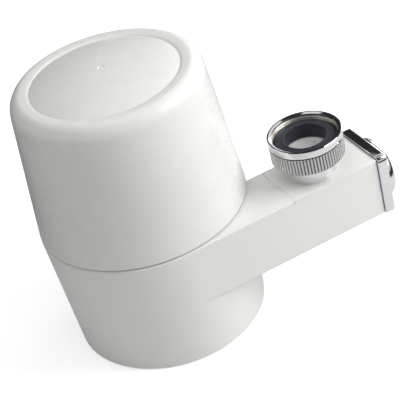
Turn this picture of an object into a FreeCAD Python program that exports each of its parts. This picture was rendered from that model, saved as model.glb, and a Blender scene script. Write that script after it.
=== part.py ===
import FreeCAD, Part
import Sketcher
import math
import os
from types import SimpleNamespace

Vector = FreeCAD.Vector
Rotation = FreeCAD.Rotation

# Driving dimensions in millimetres. The origin is the middle of the filtered outlet's mouth, under the
# housing. +Z runs up the housing, +X runs out along the arm, and the arm lies on the -Y side.
SIZES = {
    # Lower housing: a tapered cup with a screw neck on top
    "housing_radius": 40.0,
    "foot_taper": 3.0,
    "foot_bevel": 0.8,
    "foot_width": 4.0,
    "foot_recess": 2.5,
    "seam_height": 50.5,
    "rim_round": 0.8,
    "floor_thickness": 3.0,
    "neck_step": 3.4,
    "neck_wall": 2.4,
    "neck_rise": 10.5,
    "cavity_draft": 0.7,
    # Top cover: a tapered cap with a dished and domed top
    "seam_gap": 0.6,
    "cover_height": 56.5,
    "cover_taper": 4.8,
    "cover_fillet": 6.5,
    "cover_wall": 2.6,
    "cover_bore_depth": 11.8,
    "ceiling_fillet": 4.0,
    "dish_margin": 6.6,
    "dish_depth": 1.05,
    "dish_slope": 0.4,
    "dome_rise": 4.2,
    "seal_groove_lift": 1.9,
    "seal_groove_width": 1.8,
    "seal_groove_depth": 1.0,
    "cover_seal_thickness": 1.4,
    # Arm: a box tangent to the housing rim, hollow at its outer end
    "nut_reach": 58.4,
    "arm_end": 19.6,
    "pocket_run": 13.4,
    "plate_run": 14.8,
    "arm_width": 24.6,
    "arm_depth": 24.7,
    "arm_wall": 2.2,
    "arm_blend": 10.0,
    "arm_edge": 0.7,
    "feed_radius": 4.0,
    "plate_thickness": 1.6,
    "plate_gap": 0.5,
    "bezel_thickness": 0.8,
    "bezel_corner": 1.0,
    # Inlet fitting, its strainer and the rubber washer
    "tap_thread_radius": 12.0,
    "flange_play": 0.3,
    "flange_step": 2.2,
    "flange_thickness": 1.2,
    "collar_height": 8.4,
    "inlet_bore": 6.0,
    "spigot_radius": 7.9,
    "spigot_clearance": 0.08,
    "spigot_length": 5.4,
    "screen_radius": 9.2,
    "screen_thickness": 1.0,
    "screen_sink": 0.5,
    "washer_gap": 0.5,
    "washer_hole": 7.8,
    "washer_thickness": 5.65,
    "washer_bevel": 0.4,
    # Swivel nut that holds the fitting to the tap
    "nut_clearance": 0.3,
    "nut_wall": 1.85,
    "nut_lift": 6.9,
    "nut_height": 10.1,
    "nut_shoulder": 1.2,
    "nut_relief": 0.4,
    "tap_thread_length": 1.2,
    "nut_flare": 0.5,
    "nut_lip": 0.25,
    "nut_land": 0.2,
    "knurl_height": 6.9,
    "knurl_groove_width": 0.45,
    "knurl_groove_depth": 0.5,
    "flute_count": 72,
    "flute_depth": 0.45,
    "flute_width": 0.95,
    "nut_chamfer": 0.5,
    # Diverter valve inside the arm
    "valve_bore": 5.5,
    "barrel_radius": 8.2,
    "barrel_gap": 0.3,
    "boss_radius": 9.8,
    "port_radius": 2.6,
    "valve_seal_thickness": 1.3,
    "valve_seat_depth": 1.2,
    "gland_radius": 6.8,
    "gland_length": 6.0,
    "running_clearance": 0.05,
    "stem_radius": 3.6,
    "drive_square": 5.2,
    "drive_length": 4.4,
    "drive_play": 0.06,
    "ring_groove_depth": 1.35,
    "ring_groove_width": 1.8,
    "ring_thickness": 1.24,
    "ring_offset": 6.6,
    "bypass_depth": 1.0,
    "bypass_angle": 210.0,
    # Square knob with a round hub and its cap
    "knob_gap": 0.3,
    "knob_overhang": 0.9,
    "knob_thickness": 4.1,
    "knob_corner": 1.4,
    "knob_edge": 0.9,
    "hub_radius": 9.4,
    "hub_height": 4.3,
    "hub_edge": 1.4,
    "cap_radius": 6.3,
    "cap_thickness": 1.1,
    "cap_rise": 0.6,
    "cap_clearance": 0.1,
    "screw_head_radius": 2.8,
    "screw_head_height": 1.2,
    "screw_radius": 1.2,
    "screw_length": 5.0,
    "screw_hole_play": 0.35,
    # Outlets under the arm and under the housing
    "outlet_flange_radius": 9.0,
    "outlet_flange_height": 2.0,
    "outlet_mouth_radius": 6.0,
    "outlet_screen_radius": 7.0,
    "outlet_screen_thickness": 0.8,
    "screen_window": 1.5,
    "screen_step": 2.2,
    "spout_radius": 7.0,
    "spout_bore": 5.0,
    "spout_flange": 1.0,
    # Filter cartridge: base, ceramic dome, carbon core
    "socket_radius": 8.8,
    "socket_wall": 2.0,
    "socket_rise": 7.5,
    "stub_radius": 7.0,
    "stub_bore": 4.0,
    "stub_foot_gap": 0.5,
    "stub_ring_thickness": 1.6,
    "stub_groove_depth": 0.4,
    "stub_groove_play": 0.1,
    "water_gap": 5.9,
    "base_lift": 8.0,
    "base_thickness": 4.0,
    "base_rim": 3.5,
    "base_wall": 1.4,
    "ceramic_play": 0.2,
    "ceramic_wall": 6.5,
    "ceramic_straight": 62.0,
    "ceramic_dome": 15.0,
    "core_play": 0.3,
    "core_height": 60.0,
    "core_bore": 4.0,
    # How far a cutting tool runs past the face that it opens
    "overrun": 1.0,
}
NEAR = 0.01


class Length:
    """One size of the object: its number now, and the sheet formula that keeps it bound."""

    def __init__(self, number, formula):
        self.number = number
        self.formula = formula

    def join(self, sign, other, number):
        return Length(number, f"({self.formula} {sign} {other.formula})")

    def __add__(self, other):
        other = as_length(other)
        return self.join("+", other, self.number + other.number)

    def __sub__(self, other):
        other = as_length(other)
        return self.join("-", other, self.number - other.number)

    def __mul__(self, other):
        other = as_length(other)
        return self.join("*", other, self.number * other.number)

    def __truediv__(self, other):
        other = as_length(other)
        return self.join("/", other, self.number / other.number)

    def __neg__(self):
        return Length(-self.number, f"(0 - {self.formula})")


def as_length(size):
    return size if isinstance(size, Length) else Length(size, repr(size))


doc = FreeCAD.newDocument("faucet_filter")
sheet = doc.addObject("Spreadsheet::Sheet", "Sizes")
for row, (alias, number) in enumerate(SIZES.items(), start=1):
    sheet.set(f"A{row}", alias)
    sheet.set(f"B{row}", str(number))
    sheet.setAlias(f"B{row}", alias)
doc.recompute()
d = SimpleNamespace(**{alias: Length(number, f"Sizes.{alias}") for alias, number in SIZES.items()})
ZERO = as_length(0.0)

# Heights and places that follow from the driving dimensions
foot_radius = d.housing_radius - d.foot_taper
floor_top = d.foot_recess + d.floor_thickness
neck_radius = d.housing_radius - d.neck_step
neck_top = d.seam_height + d.neck_rise
cavity_radius = neck_radius - d.neck_wall
floor_radius = cavity_radius - d.cavity_draft
cover_bottom = d.seam_height + d.seam_gap
arm_middle = -d.housing_radius + d.arm_width / 2
arm_bottom = d.seam_height - d.arm_depth
arm_reach = d.nut_reach + d.arm_end
valve_height = d.seam_height - d.arm_depth / 2
pocket_start = d.nut_reach - d.pocket_run
pocket_floor = arm_bottom + d.arm_wall
plate_start = d.nut_reach - d.plate_run
plate_bottom = d.seam_height - d.plate_thickness
flange_radius = d.tap_thread_radius - d.flange_play
collar_radius = flange_radius - d.flange_step
flange_top = d.seam_height + d.collar_height + d.flange_thickness
knob_start = arm_reach + d.bezel_thickness + d.knob_gap
base_radius = floor_radius - d.water_gap
ceramic_radius = base_radius - d.base_wall - d.ceramic_play

parts = []


def listed(item, name, place=(ZERO, ZERO, ZERO), turn=None):
    """Names a finished sub-part and puts it at its place in the object."""
    item.Label = name
    item.Placement = FreeCAD.Placement(Vector(), turn or Rotation())
    for axis, distance in zip("xyz", place):
        item.setExpression(f"Placement.Base.{axis}", distance.formula)
    parts.append(item)
    return item


def bind(item, **lengths):
    for field, length in lengths.items():
        item.setExpression(field, as_length(length).formula)
    return item


def add_sketch(body, role, lift=ZERO):
    """A sketch on one of the body's own origin planes, lifted along the plane's normal."""
    sketch = body.newObject("Sketcher::SketchObject", body.Name + "_sketch")
    plane = next(item for item in body.Origin.OriginFeatures if item.Role == role)
    sketch.AttachmentSupport = [(plane, "")]
    sketch.MapMode = "FlatFace"
    sketch.setExpression("AttachmentOffset.Base.z", lift.formula)
    return sketch


def fix(sketch, kind, guide, item, end, distance):
    """Holds one coordinate of a point: on the guide line when it is zero, else at a bound distance."""
    if distance.number == 0.0:
        sketch.addConstraint(Sketcher.Constraint("PointOnObject", item, end, guide))
        return
    index = sketch.addConstraint(Sketcher.Constraint(kind, -1, 1, item, end, distance.number))
    sketch.setExpression(f"Constraints[{index}]", distance.formula)


def fix_point(sketch, item, end, point):
    fix(sketch, "DistanceX", -2, item, end, as_length(point[0]))
    fix(sketch, "DistanceY", -1, item, end, as_length(point[1]))


def draw_outline(sketch, corners, arcs=None):
    """A closed outline through the corners. arcs gives the radius of each curved side, by the number
    of its first corner: positive with the centre on the left of the way round, negative on the right."""
    arcs = arcs or {}
    points = [Vector(as_length(x).number, as_length(y).number, 0) for x, y in corners]
    sides = []
    for index, start in enumerate(points):
        end = points[(index + 1) % len(points)]
        if index not in arcs:
            sides.append((sketch.addGeometry(Part.LineSegment(start, end)), 1, 2))
            continue
        radius = abs(arcs[index].number)
        left = math.copysign(1.0, arcs[index].number)
        chord = end - start
        height = math.sqrt(max(radius ** 2 - (chord.Length / 2) ** 2, 0.0))
        across = Vector(-chord.y, chord.x, 0).normalize() * height * left
        centre = (start + end) / 2 + across
        first, last = (start, end) if left > 0 else (end, start)
        angles = [math.atan2(point.y - centre.y, point.x - centre.x) for point in (first, last)]
        circle = Part.Circle(centre, Vector(0, 0, 1), radius)
        item = sketch.addGeometry(Part.ArcOfCircle(circle, angles[0], angles[1]))
        sides.append((item, 1, 2) if left > 0 else (item, 2, 1))
        rule = sketch.addConstraint(Sketcher.Constraint("Radius", item, radius))
        bound = arcs[index] if left > 0 else -arcs[index]
        sketch.setExpression(f"Constraints[{rule}]", bound.formula)
    for index, (item, start, end) in enumerate(sides):
        following, following_start, _ = sides[(index + 1) % len(sides)]
        sketch.addConstraint(Sketcher.Constraint("Coincident", item, end, following, following_start))
        fix_point(sketch, item, start, corners[index])


def draw_circle(sketch, radius, centre=(ZERO, ZERO)):
    radius = as_length(radius)
    middle = Vector(as_length(centre[0]).number, as_length(centre[1]).number, 0)
    item = sketch.addGeometry(Part.Circle(middle, Vector(0, 0, 1), radius.number))
    rule = sketch.addConstraint(Sketcher.Constraint("Radius", item, radius.number))
    sketch.setExpression(f"Constraints[{rule}]", radius.formula)
    if middle.Length == 0.0:
        sketch.addConstraint(Sketcher.Constraint("Coincident", item, 3, -1, 1))
    else:
        fix_point(sketch, item, 3, centre)


def draw_box(sketch, low_x, high_x, low_y, high_y):
    draw_outline(sketch, [(low_x, low_y), (high_x, low_y), (high_x, high_y), (low_x, high_y)])


def new_body(name):
    return doc.addObject("PartDesign::Body", name)


def finish_feature(body, feature):
    body.Tip = feature
    doc.recompute()
    return feature


def pad(body, sketch, length, reverse=False):
    feature = body.newObject("PartDesign::Pad", body.Name + "_pad")
    feature.Profile = sketch
    feature.Reversed = reverse
    bind(feature, Length=length)
    return finish_feature(body, feature)


def pocket(body, sketch, length, reverse=False):
    """Cuts the sketch's shape away, and stops the run if the cut misses the solid."""
    before = body.Tip.Shape.Volume
    feature = body.newObject("PartDesign::Pocket", body.Name + "_pocket")
    feature.Profile = sketch
    feature.Reversed = reverse
    bind(feature, Length=length)
    finish_feature(body, feature)
    if feature.Shape.Volume >= before:
        raise ValueError(f"the cut {feature.Name} removes nothing")
    return feature


def revolve(body, corners, arcs=None, cut=False, angle=None):
    """Turns an outline of (radius, height) corners about the body's own Z axis."""
    sketch = add_sketch(body, "XZ_Plane")
    draw_outline(sketch, corners, arcs)
    kind = "Groove" if cut else "Revolution"
    feature = body.newObject("PartDesign::" + kind, body.Name + "_" + kind.lower())
    feature.Profile = sketch
    feature.ReferenceAxis = (sketch, ["V_Axis"])
    feature.Angle = 360.0
    if angle is not None:
        feature.Midplane = True
        bind(feature, Angle=angle)
    return finish_feature(body, feature)


def round_edges(body, radius, wanted):
    """Rounds the edges of the body for which wanted(edge) is true."""
    base = body.Tip
    names = [f"Edge{number}" for number, edge in enumerate(base.Shape.Edges, start=1) if wanted(edge)]
    feature = body.newObject("PartDesign::Fillet", body.Name + "_fillet")
    feature.Base = (base, names)
    bind(feature, Radius=radius)
    return finish_feature(body, feature)


def is_curve(edge, kind):
    return not edge.Degenerated and edge.Curve.TypeId == "Part::Geom" + kind


def circle_at(height, radius):
    """A test for the circular edge of that radius, about the body's own axis, at that height."""
    def wanted(edge):
        if not is_curve(edge, "Circle"):
            return False
        level = abs(edge.Curve.Center.z - height.number) < NEAR
        same_size = abs(edge.Curve.Radius - radius.number) < NEAR
        return level and same_size and abs(edge.Curve.Axis.z) > 1 - NEAR
    return wanted


def dome_radius(half_width, rise):
    return (half_width * half_width + rise * rise) / (rise * 2)


def o_ring(name, ring_radius, thickness, place, turn=None):
    """A round-section rubber ring."""
    torus = doc.addObject("Part::Torus", name)
    bind(torus, Radius1=ring_radius, Radius2=thickness / 2)
    return listed(torus, name, place, turn)


ALONG_X = Rotation(Vector(0, 1, 0), 90)


def make_lower_housing():
    """Cup, neck, foot, arm and feed passage, all one moulding."""
    body = new_body("lower_housing")
    revolve(body, [
        (ZERO, ZERO), (foot_radius - d.foot_bevel, ZERO), (foot_radius, d.foot_bevel),
        (d.housing_radius, d.seam_height - d.rim_round), (d.housing_radius - d.rim_round, d.seam_height),
        (neck_radius, d.seam_height), (neck_radius, neck_top), (ZERO, neck_top)], {3: d.rim_round})
    front = -d.housing_radius
    back = front + d.arm_width
    edge = d.arm_edge
    section = add_sketch(body, "YZ_Plane")
    draw_outline(section, [
        (front + edge, arm_bottom), (back - edge, arm_bottom), (back, arm_bottom + edge),
        (back, d.seam_height - edge), (back - edge, d.seam_height), (front + edge, d.seam_height),
        (front, d.seam_height - edge), (front, arm_bottom + edge)], {1: edge, 3: edge, 5: edge, 7: edge})
    pad(body, section, arm_reach)
    blend = add_sketch(body, "XY_Plane", arm_bottom + edge)
    draw_outline(blend, [(ZERO, front), (ZERO, front + d.arm_blend), (-d.arm_blend, front + d.arm_blend)],
                 {2: d.arm_blend})
    pad(body, blend, d.arm_depth - edge - d.rim_round)

    # The water space, the recess under the floor, and the socket for the cartridge
    socket_outer = d.socket_radius + d.socket_wall
    socket_top = floor_top + d.socket_rise
    revolve(body, [
        (socket_outer, floor_top), (floor_radius, floor_top), (cavity_radius, neck_top + d.overrun),
        (ZERO, neck_top + d.overrun), (ZERO, socket_top), (socket_outer, socket_top)], cut=True)
    revolve(body, [(ZERO, floor_top), (d.socket_radius, floor_top),
                   (d.socket_radius, socket_top + d.overrun), (ZERO, socket_top + d.overrun)], cut=True)
    spout_seat = d.spout_radius + d.running_clearance
    boss = d.spout_radius + d.spout_flange + d.socket_wall
    recess = foot_radius - d.foot_width
    revolve(body, [(boss, -d.overrun), (recess, -d.overrun), (recess, d.foot_recess),
                   (boss, d.foot_recess)], cut=True)
    revolve(body, [(ZERO, -d.overrun), (spout_seat, -d.overrun),
                   (spout_seat, floor_top + d.overrun), (ZERO, floor_top + d.overrun)], cut=True)

    # The arm's hollow end, open upwards and outwards, with the step that the top plate lies on
    half_pocket = d.arm_width / 2 - d.arm_wall
    past_end = arm_reach + d.overrun
    hollow = add_sketch(body, "XY_Plane", pocket_floor)
    draw_box(hollow, pocket_start, past_end, arm_middle - half_pocket, arm_middle + half_pocket)
    pocket(body, hollow, d.arm_depth, reverse=True)
    step = add_sketch(body, "XY_Plane", plate_bottom)
    draw_box(step, plate_start - d.plate_gap / 2, past_end, front - d.overrun, back + d.overrun)
    pocket(body, step, d.plate_thickness + d.overrun, reverse=True)
    opening = add_sketch(body, "XY_Plane", arm_bottom - d.overrun)
    draw_circle(opening, d.spigot_radius + d.spigot_clearance, (d.nut_reach, arm_middle))
    pocket(body, opening, d.arm_wall + d.overrun * 2, reverse=True)
    feed = add_sketch(body, "YZ_Plane")
    draw_circle(feed, d.feed_radius, (arm_middle, valve_height))
    pocket(body, feed, pocket_start + d.overrun, reverse=True)
    listed(body, "lower_housing")


def make_top_cover():
    """Tapered cap with a rounded shoulder, a dished top and a shallow dome in the dish."""
    body = new_body("top_cover")
    slope = d.cover_taper / d.cover_height
    bore = d.housing_radius - d.cover_wall
    ledge = d.cover_bore_depth
    dish_radius = d.housing_radius - d.cover_taper - d.dish_margin
    dish_edge = dish_radius - d.dish_slope
    dish_level = d.cover_height - d.dish_depth
    ceiling = dish_level - d.cover_wall
    inner_dome = dish_edge - d.cover_wall / 2
    groove_low = d.seal_groove_lift
    groove_high = groove_low + d.seal_groove_width
    groove = bore + d.seal_groove_depth
    corners = [
        (d.housing_radius, ZERO), (d.housing_radius - d.cover_taper, d.cover_height),
        (dish_radius, d.cover_height), (dish_edge, dish_level), (ZERO, dish_level + d.dome_rise),
        (ZERO, dish_level + d.dome_rise - d.cover_wall), (inner_dome, ceiling),
        (bore - slope * ceiling, ceiling), (bore - slope * ledge, ledge), (bore, ledge),
        (bore, groove_high), (groove, groove_high), (groove, groove_low), (bore, groove_low), (bore, ZERO)]
    outside = dome_radius(dish_edge, d.dome_rise)
    inside = dome_radius(inner_dome, d.dome_rise)
    revolve(body, corners, {3: outside, 5: -inside})
    round_edges(body, d.cover_fillet, circle_at(d.cover_height, d.housing_radius - d.cover_taper))
    round_edges(body, d.ceiling_fillet, circle_at(ceiling, bore - slope * ceiling))
    listed(body, "top_cover", (ZERO, ZERO, cover_bottom))
    o_ring("cover_seal", bore + d.seal_groove_depth - d.seal_groove_width / 2, d.cover_seal_thickness,
           (ZERO, ZERO, cover_bottom + groove_low + d.seal_groove_width / 2))


def make_arm_top_plate():
    """Flush plate that closes the valve space, with the hole that the inlet fitting goes through."""
    body = new_body("arm_top_plate")
    plan = add_sketch(body, "XY_Plane")
    half = d.arm_width / 2
    draw_box(plan, plate_start + d.plate_gap / 2, arm_reach, -half, half)
    pad(body, plan, d.plate_thickness)
    hole = add_sketch(body, "XY_Plane")
    draw_circle(hole, d.spigot_radius + d.spigot_clearance, (d.nut_reach, ZERO))
    pocket(body, hole, d.plate_thickness, reverse=True)

    def top_side(edge):
        box = edge.BoundBox
        along_arm = is_curve(edge, "Line") and box.XLength > d.arm_end.number
        return along_arm and abs(box.Center.z - d.plate_thickness.number) < NEAR

    round_edges(body, d.arm_edge, top_side)
    listed(body, "arm_top_plate", (ZERO, arm_middle, plate_bottom))


def make_inlet():
    """Flanged tube that the nut turns on, its strainer and the rubber washer on its flange."""
    fitting = new_body("inlet_fitting")
    top = d.collar_height + d.flange_thickness
    seat = top - d.screen_sink - d.screen_thickness
    seat_radius = d.screen_radius + d.running_clearance
    revolve(fitting, [
        (d.inlet_bore, -d.spigot_length), (d.spigot_radius, -d.spigot_length), (d.spigot_radius, ZERO),
        (collar_radius, ZERO), (collar_radius, d.collar_height), (flange_radius, d.collar_height),
        (flange_radius, top), (seat_radius, top), (seat_radius, seat), (d.inlet_bore, seat)])
    listed(fitting, "inlet_fitting", (d.nut_reach, arm_middle, d.seam_height))
    strainer("inlet_screen", d.screen_radius, d.screen_thickness, d.inlet_bore,
             (d.nut_reach, arm_middle, d.seam_height + seat))
    washer = new_body("inlet_washer")
    washer_radius = d.tap_thread_radius - d.washer_gap
    bevel = d.washer_bevel
    revolve(washer, [
        (d.washer_hole, ZERO), (washer_radius, ZERO), (washer_radius, d.washer_thickness - bevel),
        (washer_radius - bevel, d.washer_thickness), (d.washer_hole + bevel, d.washer_thickness),
        (d.washer_hole, d.washer_thickness - bevel)])
    listed(washer, "inlet_washer", (d.nut_reach, arm_middle, flange_top))


def strainer(name, radius, thickness, open_radius, place):
    """Moulded disc with rows of square windows, as many as fit inside its open radius."""
    body = new_body(name)
    disc = add_sketch(body, "XY_Plane")
    draw_circle(disc, radius)
    pad(body, disc, thickness)
    windows = add_sketch(body, "XY_Plane")
    half = d.screen_window / 2
    reach = int(open_radius.number / d.screen_step.number)
    for column in range(-reach, reach + 1):
        for row in range(-reach, reach + 1):
            far_x = d.screen_step * abs(column) + half
            far_y = d.screen_step * abs(row) + half
            if math.hypot(far_x.number, far_y.number) > open_radius.number:
                continue
            middle_x = d.screen_step * column
            middle_y = d.screen_step * row
            draw_box(windows, middle_x - half, middle_x + half, middle_y - half, middle_y + half)
    pocket(body, windows, thickness, reverse=True)
    return listed(body, name, place)


def make_knurled_nut():
    """Swivel nut: fluted band below, plain ring above, a tap thread inside over a relief."""
    body = new_body("knurled_nut")
    outside = d.tap_thread_radius + d.nut_wall
    neck = collar_radius + d.nut_clearance
    relief = d.tap_thread_radius + d.nut_relief
    relief_top = d.nut_height - d.nut_flare - d.tap_thread_length
    groove = outside - d.knurl_groove_depth
    groove_top = d.knurl_height + d.knurl_groove_width
    rim = outside - d.nut_lip
    revolve(body, [
        (neck, ZERO), (outside - d.nut_chamfer, ZERO), (outside, d.nut_chamfer),
        (outside, d.knurl_height), (groove, d.knurl_height), (groove, groove_top),
        (outside, groove_top), (outside, d.nut_height - d.nut_lip),
        (rim, d.nut_height), (rim - d.nut_land, d.nut_height),
        (d.tap_thread_radius, d.nut_height - d.nut_flare), (d.tap_thread_radius, relief_top),
        (relief, relief_top), (relief, d.nut_shoulder), (neck, d.nut_shoulder)])
    flute = add_sketch(body, "XY_Plane")
    flute_mouth = outside + d.flute_depth / 2
    draw_outline(flute, [(outside - d.flute_depth, ZERO), (flute_mouth, -d.flute_width),
                         (flute_mouth, d.flute_width)])
    first = pocket(body, flute, d.knurl_height, reverse=True)
    pattern = body.newObject("PartDesign::PolarPattern", "knurled_nut_flutes")
    pattern.Originals = [first]
    pattern.Axis = (flute, ["N_Axis"])
    pattern.Angle = 360.0
    bind(pattern, Occurrences=d.flute_count)
    finish_feature(body, pattern)
    listed(body, "knurled_nut", (d.nut_reach, arm_middle, d.seam_height + d.nut_lift))


def make_valve():
    """Valve body in the arm's pocket, the plug that turns in it, its rings and the gland that keeps it."""
    body = new_body("valve_body")
    length = arm_reach - pocket_start - d.barrel_gap * 2
    start = pocket_start + d.barrel_gap
    barrel = add_sketch(body, "YZ_Plane")
    draw_circle(barrel, d.barrel_radius)
    pad(body, barrel, length)
    port = d.nut_reach - start
    upward = plate_bottom - valve_height
    downward = valve_height - pocket_floor
    column = add_sketch(body, "XY_Plane", -downward)
    draw_circle(column, d.boss_radius, (port, ZERO))
    pad(body, column, upward + downward)
    bore = add_sketch(body, "YZ_Plane")
    draw_circle(bore, d.valve_bore)
    pocket(body, bore, length, reverse=True)
    seat = add_sketch(body, "YZ_Plane")
    draw_circle(seat, d.valve_bore + d.valve_seal_thickness + d.barrel_gap)
    pocket(body, seat, d.valve_seat_depth, reverse=True)
    gland_seat = add_sketch(body, "YZ_Plane", length - d.gland_length)
    draw_circle(gland_seat, d.gland_radius + d.running_clearance)
    pocket(body, gland_seat, d.gland_length + d.overrun, reverse=True)
    way = add_sketch(body, "XY_Plane", -downward)
    draw_circle(way, d.port_radius, (port, ZERO))
    pocket(body, way, upward + downward, reverse=True)
    spigot_seat = d.spigot_radius + d.spigot_clearance
    inlet_depth = d.spigot_length - d.plate_thickness
    inlet = add_sketch(body, "XY_Plane", upward - inlet_depth)
    draw_circle(inlet, spigot_seat, (port, ZERO))
    pocket(body, inlet, inlet_depth + d.overrun, reverse=True)
    outlet_depth = d.spigot_length - d.arm_wall + d.outlet_screen_thickness
    outlet = add_sketch(body, "XY_Plane", -downward)
    draw_circle(outlet, spigot_seat, (port, ZERO))
    pocket(body, outlet, outlet_depth, reverse=True)
    listed(body, "valve_body", (start, arm_middle, valve_height))

    seal = new_body("valve_seal")
    seal_hole = d.valve_bore + d.running_clearance
    seal_radius = d.valve_bore + d.valve_seal_thickness
    revolve(seal, [(seal_hole, ZERO), (seal_radius, ZERO), (seal_radius, d.valve_seal_thickness),
                   (seal_hole, d.valve_seal_thickness)])
    seal_start = pocket_start + d.running_clearance
    listed(seal, "valve_seal", (seal_start, arm_middle, valve_height), ALONG_X)

    gland = new_body("valve_gland")
    stem_hole = d.stem_radius + d.running_clearance
    revolve(gland, [(stem_hole, ZERO), (d.gland_radius, ZERO), (d.gland_radius, d.gland_length),
                    (stem_hole, d.gland_length)])
    gland_start = start + length - d.gland_length
    listed(gland, "valve_gland", (gland_start, arm_middle, valve_height), ALONG_X)

    spindle = new_body("valve_spindle")
    plug = d.valve_bore - d.running_clearance
    plug_start = start + d.valve_seat_depth + d.barrel_gap
    plug_length = gland_start - d.nut_clearance - plug_start
    stem_end = knob_start - plug_start
    port_place = d.nut_reach - plug_start
    ring_low = port_place - d.ring_offset
    ring_high = port_place + d.ring_offset
    ring_floor = plug - d.ring_groove_depth
    half = d.ring_groove_width / 2
    corners = [(ZERO, ZERO), (plug, ZERO)]
    for level in (ring_low, ring_high):
        corners += [(plug, level - half), (ring_floor, level - half), (ring_floor, level + half),
                    (plug, level + half)]
    corners += [(plug, plug_length), (d.stem_radius, plug_length), (d.stem_radius, stem_end),
                (ZERO, stem_end)]
    revolve(spindle, corners)
    drive = add_sketch(spindle, "XY_Plane", stem_end)
    draw_box(drive, -d.drive_square / 2, d.drive_square / 2, -d.drive_square / 2, d.drive_square / 2)
    pad(spindle, drive, d.drive_length)
    bypass = plug - d.bypass_depth
    past_plug = plug + d.overrun
    revolve(spindle, [(bypass, port_place - d.port_radius), (past_plug, port_place - d.port_radius),
                      (past_plug, port_place + d.port_radius), (bypass, port_place + d.port_radius)],
            cut=True, angle=d.bypass_angle)
    axial = add_sketch(spindle, "XY_Plane")
    draw_circle(axial, d.port_radius)
    pocket(spindle, axial, port_place, reverse=True)
    radial = add_sketch(spindle, "YZ_Plane")
    draw_circle(radial, d.port_radius, (ZERO, port_place))
    pocket(spindle, radial, past_plug)
    tapped = add_sketch(spindle, "XY_Plane", stem_end + d.drive_length - d.screw_length)
    draw_circle(tapped, d.screw_radius + d.running_clearance)
    pocket(spindle, tapped, d.screw_length + d.overrun, reverse=True)
    listed(spindle, "valve_spindle", (plug_start, arm_middle, valve_height), ALONG_X)
    ring_radius = ring_floor + (d.valve_bore - ring_floor) / 2
    for name, level in (("spindle_ring_inner", ring_low), ("spindle_ring_outer", ring_high)):
        o_ring(name, ring_radius, d.ring_thickness, (plug_start + level, arm_middle, valve_height), ALONG_X)


def make_knob():
    """Square turning knob on the arm's end, its screw and the cap that hides the screw."""
    bezel = new_body("end_bezel")
    face = add_sketch(bezel, "YZ_Plane")
    half_width = d.arm_width / 2
    half_depth = d.arm_depth / 2
    draw_box(face, -half_width, half_width, -half_depth, half_depth)
    pad(bezel, face, d.bezel_thickness)
    hole = add_sketch(bezel, "YZ_Plane")
    draw_circle(hole, d.stem_radius + d.knob_gap)
    pocket(bezel, hole, d.bezel_thickness, reverse=True)
    round_edges(bezel, d.bezel_corner, lambda edge: edge.BoundBox.XLength > NEAR and is_curve(edge, "Line"))
    listed(bezel, "end_bezel", (arm_reach, arm_middle, valve_height))

    knob = new_body("diverter_knob")
    plate = add_sketch(knob, "XY_Plane")
    half = half_width + d.knob_overhang
    draw_box(plate, -half, half, -half, half)
    pad(knob, plate, d.knob_thickness)
    round_edges(knob, d.knob_corner, lambda edge: edge.BoundBox.ZLength > NEAR)
    round_edges(knob, d.knob_edge, lambda edge: edge.BoundBox.ZLength < NEAR)
    hub = add_sketch(knob, "XY_Plane", d.knob_thickness)
    draw_circle(hub, d.hub_radius)
    pad(knob, hub, d.hub_height)
    knob_end = d.knob_thickness + d.hub_height
    round_edges(knob, d.hub_edge, circle_at(knob_end, d.hub_radius))
    socket = add_sketch(knob, "XY_Plane")
    socket_half = d.drive_square / 2 + d.drive_play
    draw_box(socket, -socket_half, socket_half, -socket_half, socket_half)
    socket_depth = d.drive_length + d.drive_play
    pocket(knob, socket, socket_depth, reverse=True)
    cap_seat = knob_end - d.cap_thickness
    head_seat = cap_seat - d.screw_head_height - d.cap_clearance
    for radius, level in ((d.cap_radius + d.cap_clearance, cap_seat),
                          (d.screw_head_radius + d.cap_clearance, head_seat),
                          (d.screw_radius + d.screw_hole_play, socket_depth / 2)):
        cut = add_sketch(knob, "XY_Plane", level)
        draw_circle(cut, radius)
        pocket(knob, cut, knob_end, reverse=True)
    listed(knob, "diverter_knob", (knob_start, arm_middle, valve_height), ALONG_X)

    screw = new_body("knob_screw")
    revolve(screw, [(ZERO, -d.screw_length), (d.screw_radius, -d.screw_length), (d.screw_radius, ZERO),
                    (d.screw_head_radius, ZERO), (d.screw_head_radius, d.screw_head_height),
                    (ZERO, d.screw_head_height)])
    listed(screw, "knob_screw", (knob_start + head_seat, arm_middle, valve_height), ALONG_X)

    cap = new_body("knob_cap")
    revolve(cap, [(ZERO, ZERO), (d.cap_radius, ZERO), (d.cap_radius, d.cap_thickness),
                  (ZERO, d.cap_thickness + d.cap_rise)], {2: dome_radius(d.cap_radius, d.cap_rise)})
    listed(cap, "knob_cap", (knob_start + cap_seat, arm_middle, valve_height), ALONG_X)


def make_outlets():
    """Ring and strainer for plain water under the arm, and the spout for filtered water."""
    ring = new_body("tap_water_outlet")
    revolve(ring, [(d.outlet_mouth_radius, -d.outlet_flange_height),
                   (d.outlet_flange_radius, -d.outlet_flange_height), (d.outlet_flange_radius, ZERO),
                   (d.spigot_radius, ZERO), (d.spigot_radius, d.spigot_length),
                   (d.outlet_mouth_radius, d.spigot_length)])
    round_edges(ring, d.arm_edge, circle_at(-d.outlet_flange_height, d.outlet_flange_radius))
    listed(ring, "tap_water_outlet", (d.nut_reach, arm_middle, arm_bottom))
    strainer("outlet_screen", d.outlet_screen_radius, d.outlet_screen_thickness, d.outlet_mouth_radius,
             (d.nut_reach, arm_middle, arm_bottom + d.spigot_length))

    spout = new_body("filtered_spout")
    revolve(spout, [(d.spout_bore, ZERO), (d.spout_radius, ZERO), (d.spout_radius, floor_top),
                    (d.spout_bore, floor_top)])
    listed(spout, "filtered_spout")


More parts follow.
